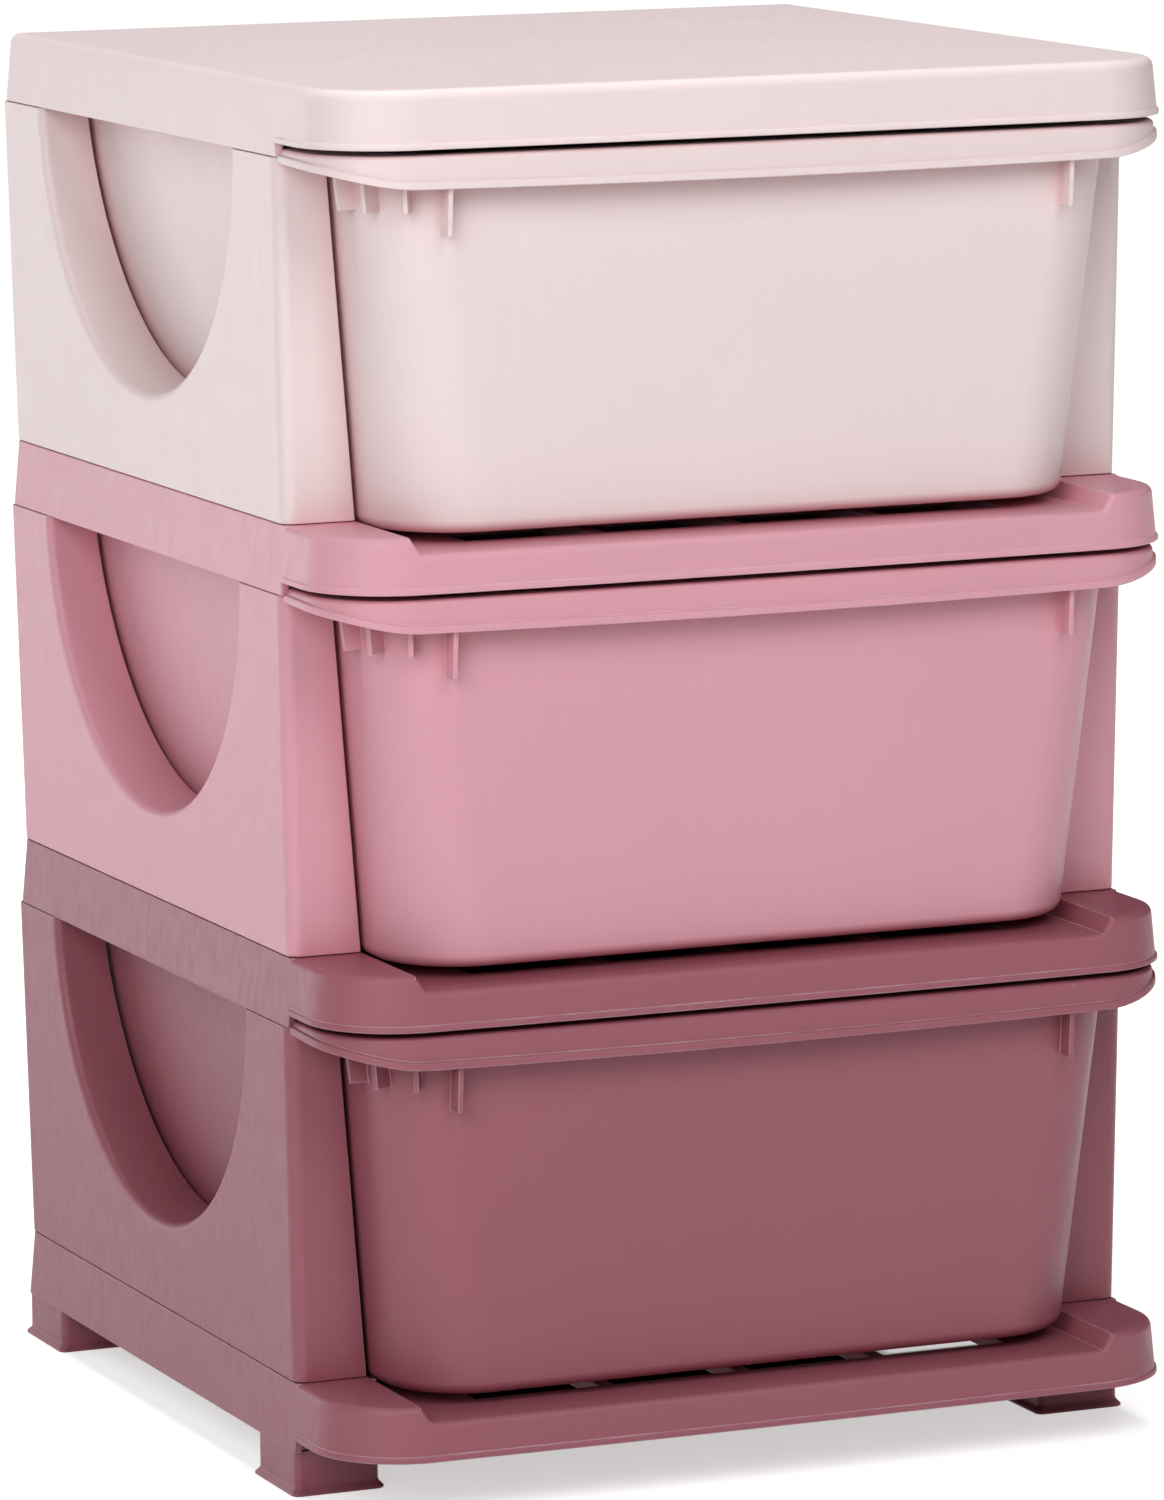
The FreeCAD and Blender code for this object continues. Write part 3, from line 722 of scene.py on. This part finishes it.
def lattice_limits(sizes):
    """The block that deepens the floor's bars, and the openings between them."""
    side, bar = HALF_WIDTH - LATTICE_SIDE, sizes.lattice_bar
    front, rear = HOOD_FRONT + LATTICE_FRONT, HALF_DEPTH - LATTICE_REAR
    low = -CHANNEL_DEPTH - sizes.plate - LATTICE_DEPTH
    bars = [(-side - bar, side + bar, front - bar, rear + bar,
             low, -CHANNEL_DEPTH - sizes.plate / 2)]
    across = (2 * side + bar) / sizes.lattice_columns
    along = (rear - front + bar) / sizes.lattice_rows
    openings = []
    for column in range(sizes.lattice_columns):
        for row in range(sizes.lattice_rows):
            x, y = column * across - side, front + row * along
            openings.append((x, x + across - bar, y, y + along - bar,
                             low - OVERRUN, OVERRUN - CHANNEL_DEPTH))
    return bars, openings


def foot_collar(front, mirror, sizes):
    """Collar under the base for one foot, open towards the skirt that closes it."""
    x0, _, y0, y1 = foot_limits(front)
    inner_x, inner_y, wall = x0 + COLLAR_INSET, y0 + COLLAR_INSET, COLLAR_WALL
    sign = -1 if mirror else 1
    rings = []
    for z in (SEAT_GAP - SKIRT_HEIGHT, -sizes.plate / 2):
        side = skirt_inner(z, sizes) + COLLAR_BITE * sizes.wall
        plan = [(inner_x - wall, inner_y - wall), (side, inner_y - wall), (side, inner_y),
                (inner_x, inner_y)]
        if front:
            end = y1 - COLLAR_INSET
            plan += [(inner_x, end), (side, end), (side, end + wall), (inner_x - wall, end + wall)]
        else:
            end = HALF_DEPTH - HALF_WIDTH + side
            plan += [(inner_x, end), (inner_x - wall, end)]
        rings.append([(sign * x, y, z) for x, y in plan])
    return stacked(rings)


def tower_shelf(name, sizes, base):
    """A shelf or the base: channelled floor with lattice, and what hangs under it."""
    def rounding(s):
        return sizes.hood_rounding if s.y < BODY_FRONT else sizes.soft_edge

    deck = deck_shell(name, sizes, shelf_top, rounding)
    bars, openings = lattice_limits(sizes)
    combine(deck, blocks(bars), "UNION")
    if base:
        for front in (True, False):
            for mirror in (True, False):
                combine(deck, foot_collar(front, mirror, sizes), "UNION")
    else:
        ribs, cheeks = runner_limits(sizes)
        combine(deck, blocks(ribs), "UNION")
        combine(deck, blocks(cheeks), "UNION")
    combine(deck, blocks(openings), "DIFFERENCE")
    combine(deck, blocks(slot_limits(sizes)), "DIFFERENCE")
    return deck


class TOWER_OT_cover(bpy.types.Operator):
    """Mould the closed top cover with its softened edge"""

    bl_idname = "tower.cover"
    bl_label = "Top cover"

    def execute(self, context):
        sizes = context.scene.tower_sizes
        cover = deck_shell("pale_cover", sizes, lambda x: COVER_RISE,
                           lambda s: sizes.cover_rounding)
        ribs, cheeks = runner_limits(sizes)
        combine(cover, blocks(ribs), "UNION")
        combine(cover, blocks(cheeks), "UNION")
        cover.data.transform(Matrix.Translation((0, 0, COVER_SEAM)))
        smoothed(cover, plastic_for("pale_plastic"), "frame", "top_cover")
        return {"FINISHED"}


class TOWER_OT_shelves(bpy.types.Operator):
    """Mould the two shelves between the tiers"""

    bl_idname = "tower.shelves"
    bl_label = "Shelves"

    def execute(self, context):
        sizes = context.scene.tower_sizes
        master = tower_shelf("shelf_master", sizes, False)
        for name, tier, node, slot in (("rose_shelf", "upper", "upper_shelf", "rose_plastic"),
                                       ("mauve_shelf", "middle", "lower_shelf", "mauve_plastic")):
            shelf = copied(master.data, name, SEAMS[tier])
            smoothed(shelf, plastic_for(slot), "frame", node)
        bpy.data.objects.remove(master)
        return {"FINISHED"}


class TOWER_OT_base(bpy.types.Operator):
    """Mould the base shelf with the sockets for the feet"""

    bl_idname = "tower.base"
    bl_label = "Base"

    def execute(self, context):
        base = tower_shelf("mauve_base", context.scene.tower_sizes, True)
        base.data.transform(Matrix.Translation((0, 0, SEAMS["lower"])))
        smoothed(base, plastic_for("mauve_plastic"), "frame", "base_shelf")
        return {"FINISHED"}


# ---------------------------------------------------------------- side panels


def panel_ring(inset, z, square):
    """Plan of the right-hand panel at a height, drawn inwards by an inset."""
    lean = PANEL_LEAN * z / PANEL_TOP
    inner, outer = panel_inner(z) + inset, panel_outer(z) - inset
    front, rear = BODY_FRONT - lean + inset, BODY_REAR + lean - inset
    if square:
        return [(inner, front, z), (outer, front, z), (outer, rear, z), (inner, rear, z)]
    radius = PANEL_CORNER - inset
    points = [(inner, front, z)]
    for centre_y, start in ((front + radius, -pi / 2), (rear - radius, 0)):
        for a in steps(start, start + pi / 2, EDGE_FACETS):
            points.append((outer - radius + radius * cos(a), centre_y + radius * sin(a), z))
    return points + [(inner, rear, z)]


def window_rings(profile):
    """Rings round the window's axis, which leans with the panel's outer face."""
    tilt = atan2(SKIRT_FLARE, TIER_PITCH - SKIRT_HEIGHT)
    turn = Matrix.Rotation(tilt, 3, "Y")
    middle = Vector((panel_outer(WINDOW_LEVEL), BODY_MIDDLE, WINDOW_LEVEL))
    angles = steps(0, 2 * pi, WINDOW_FACETS)[:-1]
    return [[middle + turn @ Vector((x, radius * cos(a), radius * sin(a))) for a in angles]
            for x, radius in profile]


def tower_panel(name, sizes):
    """Right-hand panel: a drafted hollow shell with a softly rimmed round window and tongues."""
    soft, radius = sizes.soft_edge, sizes.window_radius
    nip = 0.3 * soft
    low, high = SEAT_GAP, PANEL_TOP
    outline = ((soft, low), (nip, low + nip), (0, low + soft),
               (0, high - soft), (nip, high - nip), (soft, high))
    panel = mesh_object(name, stacked([panel_ring(inset, z, False) for inset, z in outline]))

    # The hollow leaves a wall round the window and a web behind each tongue
    hollow = mesh_object("hollow", stacked([panel_ring(PANEL_WALL, -OVERRUN, True),
                                            panel_ring(PANEL_WALL, high - PANEL_WALL, True)]))
    combine(hollow, stacked(window_rings([(-WINDOW_CUT, radius + PANEL_WALL),
                                          (OVERRUN, radius + PANEL_WALL)])), "DIFFERENCE")
    webs = [(0, HALF_WIDTH, y - PANEL_WALL / 2, y + PANEL_WALL / 2, -2 * OVERRUN, high)
            for y in TONGUE_PLACES]
    combine(hollow, blocks(webs), "DIFFERENCE")
    cavity = bmesh.new()
    cavity.from_mesh(hollow.data)
    bpy.data.objects.remove(hollow)
    combine(panel, cavity, "DIFFERENCE")

    rim = sizes.window_rounding
    profile = [(-WINDOW_CUT, radius), (-rim, radius)]
    for a in steps(0, pi / 2, EDGE_FACETS)[1:]:
        profile.append((-rim + rim * sin(a), radius + rim * (1 - cos(a))))
    profile.append((OVERRUN, radius + rim + OVERRUN))
    combine(panel, stacked(window_rings(profile)), "DIFFERENCE")

    upper_outer, upper_inner, lower_outer, lower_inner = tongue_lines(sizes)
    half = TONGUE_LENGTH / 2
    for inner, outer, foot, head in (
            (upper_inner, upper_outer, high - PANEL_WALL / 2, high + TONGUE_RISE),
            (lower_inner, lower_outer, -TONGUE_DEPTH, TONGUE_ROOT)):
        tongues = [(inner, outer, y - half, y + half, foot, head) for y in TONGUE_PLACES]
        combine(panel, blocks(tongues, TONGUE_EDGE), "UNION")
    return panel


class TOWER_OT_panels(bpy.types.Operator):
    """Mould the six side panels with their round windows"""

    bl_idname = "tower.panels"
    bl_label = "Side panels"

    def execute(self, context):
        master = tower_panel("panel_master", context.scene.tower_sizes)
        for tier, slot in TIER_FINISH.items():
            for side, mirror in (("right", False), ("left", True)):
                name = slot.split("_")[0] + "_" + side + "_side"
                panel = copied(master.data, name, SEAMS[tier], mirror)
                smoothed(panel, plastic_for(slot), "frame", tier + "_" + side + "_panel")
        bpy.data.objects.remove(master)
        return {"FINISHED"}


# ---------------------------------------------------------------- totes


def tote_ring(inset, z, sizes):
    """Plan of a tote at a height, drawn inwards by an inset."""
    drop = 1 - (z - TOTE_FLOOR) / (RIM_TOP - TOTE_FLOOR)
    half = tote_half(z) - inset
    front = HOOD_FRONT + FRONT_SETBACK + FRONT_DRAFT * drop + inset
    rear = FLANGE_REAR - REAR_SETBACK - REAR_DRAFT * drop - inset
    radius = sizes.tote_corner + CORNER_GROWTH * drop - inset
    return rounded_plan(-half, half, front, rear, radius, z, TOTE_CORNER_FACETS)


def tote_rings(inset, edge, floor, sizes):
    """Rings from the floor round its edge."""
    return [tote_ring(inset + edge * (1 - sin(a)), floor + edge * (1 - cos(a)), sizes)
            for a in steps(0, pi / 2, EDGE_FACETS)]


def lip_section(s, sizes):
    """Section of the lip at one sample: its upper edge, the front, and up its inner face."""
    rounding, rim, proud, soft = sizes.lip_rounding, LIP_RIM_HEIGHT, LIP_RIM_PROUD, LIP_SOFT_EDGE
    nip = 0.3 * soft
    brow = RIM_TOP - rounding
    low = RIM_TOP - sizes.lip_height + LIP_CLIMB * (1 - exp((HOOD_FRONT - s.y) / LIP_CLIMB_RUN))

    def grow(z):
        return -LIP_SETBACK + LIP_FLARE * (RIM_TOP - z) / sizes.lip_height

    points = [(grow(brow) - rounding * (1 - cos(a)), brow + rounding * sin(a))
              for a in steps(pi / 2, 0, sizes.arc_steps)]
    lower = [(0, rim + 0.5 * soft), (proud * 0.75, rim - 0.5 * soft), (proud, rim - 1.5 * soft),
             (proud, soft), (proud - nip, nip), (proud - soft, 0),
             (soft - LIP_WALL, 0), (-LIP_WALL, soft)]
    for offset, rise in lower:
        z = min(low + rise, brow)
        points.append((grow(z) + offset, z))
    points.append((grow(RIM_UNDERSIDE) - LIP_WALL, RIM_UNDERSIDE))
    return [(s.x + s.nx * out, s.y + s.ny * out, z) for out, z in points]


def rim_and_lip(name, sizes):
    """The flange round a tote and the hooded lip in front of it, as one closed moulding."""
    right = hood_samples() + [Sample(HALF_WIDTH, LIP_END, 1, 0)]
    chain = mirrored_samples(right)[:-1] + right
    mesh = bmesh.new()
    sections = [run_of(mesh, lip_section(s, sizes)) for s in chain]
    for one, other in zip(sections, sections[1:]):
        bridge(mesh, one, other, closed=False)
    radius = FLANGE_CORNER
    plan = [(FLANGE_HALF, LIP_END)]
    for x, start in ((FLANGE_HALF - radius, 0), (radius - FLANGE_HALF, pi / 2)):
        plan += [(x + radius * cos(a), FLANGE_REAR - radius + radius * sin(a))
                 for a in steps(start, start + pi / 2, EDGE_FACETS)]
    plan.append((-FLANGE_HALF, LIP_END))
    upper = run_of(mesh, [(x, y, RIM_TOP) for x, y in plan])
    lower = run_of(mesh, [(x, y, RIM_UNDERSIDE) for x, y in plan])
    bridge(mesh, upper, lower, closed=False)
    mesh.faces.new([section[0] for section in sections] + upper)
    mesh.faces.new([section[-1] for section in sections] + lower)
    mesh.faces.new(sections[-1] + [lower[0], upper[0]])
    mesh.faces.new(sections[0] + [lower[-1], upper[-1]])
    return mesh_object(name, mesh)


def corner_fins(angles, sizes):
    """Tapered fins that fan round the right-hand front corner under the lip."""
    corner = sizes.tote_corner
    centre = (RIM_HALF - corner, HOOD_FRONT + FRONT_SETBACK + corner, 0)
    fins = []
    for angle in angles:
        drop = FRONT_FIN_DROP if angle == 90 else FIN_DROP
        fin = blocks([(corner - FIN_ROOT, corner + FIN_REACH, -FIN_HALF, FIN_HALF,
                       RIM_UNDERSIDE - drop, RIM_UNDERSIDE + FIN_SINK)], FIN_EDGE)
        for vertex in fin.verts:
            if vertex.co.x > corner:
                vertex.co.x -= FIN_TAPER * (RIM_UNDERSIDE - vertex.co.z) / drop
        turned = Matrix.Translation(centre) @ Matrix.Rotation(-radians(angle), 4, "Z")
        bmesh.ops.transform(fin, verts=fin.verts, matrix=turned)
        fins.append(fin)
    return fins


def tower_tote(name, sizes):
    """A tote: drafted walls with a rounded floor edge, flange, hooded lip and corner fins."""
    tote = rim_and_lip(name, sizes)
    wall = sizes.tote_wall
    outside = tote_rings(0, sizes.tote_floor_edge, TOTE_FLOOR, sizes)
    outside.append(tote_ring(0, RIM_TOP - MM, sizes))
    combine(tote, stacked(outside), "UNION")
    for mirror, angles in ((False, RIGHT_FINS), (True, LEFT_FINS)):
        for fin in corner_fins(angles, sizes):
            if mirror:
                bmesh.ops.transform(fin, verts=fin.verts, matrix=Matrix.Diagonal((-1, 1, 1, 1)))
            combine(tote, fin, "UNION")

    # The inside ends in a softly flared mouth: drop below the rim and spread, in millimetres
    inside = tote_rings(wall, sizes.tote_floor_edge - wall, TOTE_FLOOR + wall, sizes)
    for drop, spread in ((0.8, 0), (0.25, 0.2), (0, 0.8), (-2, 0.8)):
        inside.append(tote_ring(wall - spread * MM, RIM_TOP - drop * MM, sizes))
    combine(tote, stacked(inside), "DIFFERENCE")
    return tote


class TOWER_OT_totes(bpy.types.Operator):
    """Mould the three totes, each on its own sliding body"""

    bl_idname = "tower.totes"
    bl_label = "Totes"

    def execute(self, context):
        master = tower_tote("tote_master", context.scene.tower_sizes)
        for tier, slot in TIER_FINISH.items():
            tote = copied(master.data, slot.split("_")[0] + "_tote", SEAMS[tier])
            smoothed(tote, plastic_for(slot), tier + "_drawer_body", tier + "_drawer")
        bpy.data.objects.remove(master)
        return {"FINISHED"}


# ---------------------------------------------------------------- feet


def foot_limits(front):
    """Plan limits of a right-hand foot's shank."""
    x1 = HALF_WIDTH - FOOT_INSET
    y0 = BODY_FRONT if front else HALF_DEPTH - FOOT_INSET - FOOT_DEPTH
    return x1 - FOOT_WIDTH, x1, y0, y0 + FOOT_DEPTH


def foot_ring(limits, inset, radius, z):
    """Rounded four-sided plan of a foot at a height."""
    x0, x1, y0, y1 = limits
    return rounded_plan(x0 + inset, x1 - inset, y0 + inset, y1 - inset, radius, z,
                        FOOT_CORNER_FACETS)


class TOWER_OT_feet(bpy.types.Operator):
    """Mould the four push-in feet with their flared soles"""

    bl_idname = "tower.feet"
    bl_label = "Feet"

    def execute(self, context):
        finish = plastic_for("mauve_plastic")
        top = SEAMS["lower"] - SKIRT_HEIGHT - SEAT_GAP
        for name, front in (("front", True), ("rear", False)):
            limits = foot_limits(front)
            rings = [foot_ring(limits, inset * MM, radius * MM, z * MM)
                     for inset, radius, z in FOOT_SOLE]
            # Shank, shoulder, plug, and the hollow back down to the sole
            for inset, radius, z in ((0, 3.0, top - 0.4 * MM), (0.4, 2.6, top), (3.4, 4.0, top),
                                     (3.4, 4.0, top + 15.6 * MM), (3.8, 3.6, top + 16.0 * MM),
                                     (5.9, 2.0, top + 16.0 * MM), (5.9, 2.0, 2.5 * MM)):
                rings.append(foot_ring(limits, inset * MM, radius * MM, z))
            shape = mesh_object("foot_master", stacked(rings))
            for side, mirror in (("right", False), ("left", True)):
                foot = copied(shape.data, "mauve_" + name + "_" + side + "_foot", 0, mirror)
                smoothed(foot, finish, "frame", name + "_" + side + "_foot")
            bpy.data.objects.remove(shape)
        return {"FINISHED"}


# ---------------------------------------------------------------- stage


def backdrop_material(colour, glow_strength):
    """White paper that glows to the camera and in reflections, save in two patches of painted shade
    under the tower.
    """
    material, node = node_material("backdrop_paper")

    def maths(operation, one, other):
        return node("Math", {0: one, 1: other}, operation=operation).outputs["Value"]

    def ramp(value, start, end):
        made = node("MapRange", {"Value": value, "From Min": start, "From Max": end})
        return made.outputs["Result"]

    place = node("TexCoord", {}).outputs["Object"]
    split = node("SeparateXYZ", {"Vector": place}).outputs

    def patch(left, right, front, rear):
        """One inside a rectangle on the floor, with soft sides."""
        sides = maths("MULTIPLY", ramp(split["X"], left - SHADE_SIDE_SOFT, left),
                      ramp(split["X"], right, right - SHADE_SIDE_SOFT))
        ends = maths("MULTIPLY", ramp(split["Y"], front - SHADE_END_SOFT, front),
                     ramp(split["Y"], rear, rear - SHADE_END_SOFT))
        return maths("MULTIPLY", sides, ends)

    # Painted shade: inside the patches the floor loses its glow and takes the dark shade colour
    painted_shade_mask = maths("MAXIMUM", *(patch(*limits) for limits in SHADE_PATCHES))
    reach = node("VectorMath", {0: place}, operation="LENGTH").outputs["Value"]
    far = maths("MULTIPLY", FAR_GLOW, ramp(reach, FAR_START, FAR_END))
    strength = maths("MULTIPLY", maths("SUBTRACT", 1.0, painted_shade_mask), maths("ADD", glow_strength, far))
    tone = node("Mix", {"Factor": painted_shade_mask, "A": opaque(colour), "B": opaque(SHADE_COLOUR)},
                data_type="RGBA")
    paper = node("BsdfDiffuse", {"Color": tone.outputs["Result"]}).outputs["BSDF"]
    glow = node("Emission", {"Strength": strength}).outputs["Emission"]
    both = node("AddShader", {0: paper, 1: glow}).outputs["Shader"]
    path = node("LightPath", {}).outputs
    seen = maths("MAXIMUM", path["Is Camera Ray"], path["Is Glossy Ray"])
    seen = maths("MAXIMUM", seen, path["Is Transmission Ray"])
    pick = node("MixShader", {0: seen, 1: paper, 2: both}).outputs["Shader"]
    node("OutputMaterial", {"Surface": pick})
    return material


def area_lamp(name, place, size, power):
    """Square soft white lamp that looks at the tower."""
    lamp = bpy.data.lights.new(name, "AREA")
    lamp.shape = "RECTANGLE"
    lamp.size = lamp.size_y = size
    lamp.energy = power
    made = bpy.data.objects.new(name, lamp)
    made.location = place
    made.rotation_euler = (Vector(LAMP_AIM) - Vector(place)).to_track_quat("-Z", "Y").to_euler()
    bpy.context.scene.collection.objects.link(made)


class TOWER_OT_stage(bpy.types.Operator):
    """Set up the floor, the lamps, the surroundings and the camera"""

    bl_idname = "tower.stage"
    bl_label = "Stage"

    def execute(self, context):
        scene = context.scene
        stage = scene.tower_stage

        # Floor: a wide disc, so that no edge shows from any side
        mesh = bmesh.new()
        bmesh.ops.create_circle(mesh, cap_ends=True, segments=96, radius=FLOOR_RADIUS)
        floor = mesh_object("floor", mesh)
        floor.data.materials.append(backdrop_material(stage.floor_colour, stage.glow))

        world = bpy.data.worlds.new("studio")
        scene.world = world
        world.use_nodes = True
        surroundings = world.node_tree.nodes["Background"].inputs
        surroundings["Color"].default_value = (1, 1, 1, 1)
        surroundings["Strength"].default_value = stage.ambient

        for name, place, size in LAMPS:
            area_lamp(name, place, size, getattr(stage, name))

        # Camera: backwards, across and upright axes of its place, then its distance
        back = Vector((sin(stage.azimuth) * cos(stage.elevation),
                       -cos(stage.azimuth) * cos(stage.elevation), sin(stage.elevation)))
        right = Vector((cos(stage.azimuth), sin(stage.azimuth), 0))
        up = back.cross(right)
        across = right * cos(stage.roll) + up * sin(stage.roll)
        upright = up * cos(stage.roll) - right * sin(stage.roll)
        lens = bpy.data.cameras.new("camera")
        lens.lens = stage.lens
        lens.sensor_width = 36.0
        lens.sensor_fit = "AUTO"
        lens.clip_end = 200.0
        camera = bpy.data.objects.new("camera", lens)
        place = Matrix((across, upright, back)).transposed().to_4x4()
        place.translation = Vector(stage.target) + back * stage.distance
        camera.matrix_world = place
        scene.collection.objects.link(camera)
        scene.camera = camera
        scene.view_settings.view_transform = "Standard"
        return {"FINISHED"}


# ---------------------------------------------------------------- add-on

OPERATORS = (TOWER_OT_stage, TOWER_OT_cover, TOWER_OT_shelves, TOWER_OT_base, TOWER_OT_panels,
             TOWER_OT_totes, TOWER_OT_feet)


class TOWER_PT_sidebar(bpy.types.Panel):
    """Settings and steps of the drawer tower"""

    bl_idname = "TOWER_PT_sidebar"
    bl_label = "Drawer tower"
    bl_space_type = "VIEW_3D"
    bl_region_type = "UI"
    bl_category = "Drawer tower"

    def draw(self, context):
        layout = self.layout
        layout.use_property_split = True
        for name in GROUPS:
            group = getattr(context.scene, name)
            box = layout.box()
            for key in group.__annotations__:
                box.prop(group, key)
        for operator in OPERATORS:
            layout.operator(operator.bl_idname)


GROUPS = {"tower_sizes": TowerSizes, "tower_finish": TowerFinish, "tower_stage": TowerStage}
CLASSES = tuple(GROUPS.values()) + OPERATORS + (TOWER_PT_sidebar,)


def register():
    for entry in CLASSES:
        bpy.utils.register_class(entry)
    for name, group in GROUPS.items():
        setattr(bpy.types.Scene, name, PointerProperty(type=group))


def unregister():
    for name in GROUPS:
        delattr(bpy.types.Scene, name)
    for entry in reversed(CLASSES):
        bpy.utils.unregister_class(entry)


def main():
    register()
    for operator in OPERATORS:
        group, step = operator.bl_idname.split(".")
        getattr(getattr(bpy.ops, group), step)()


if __name__ == "__main__":
    main()
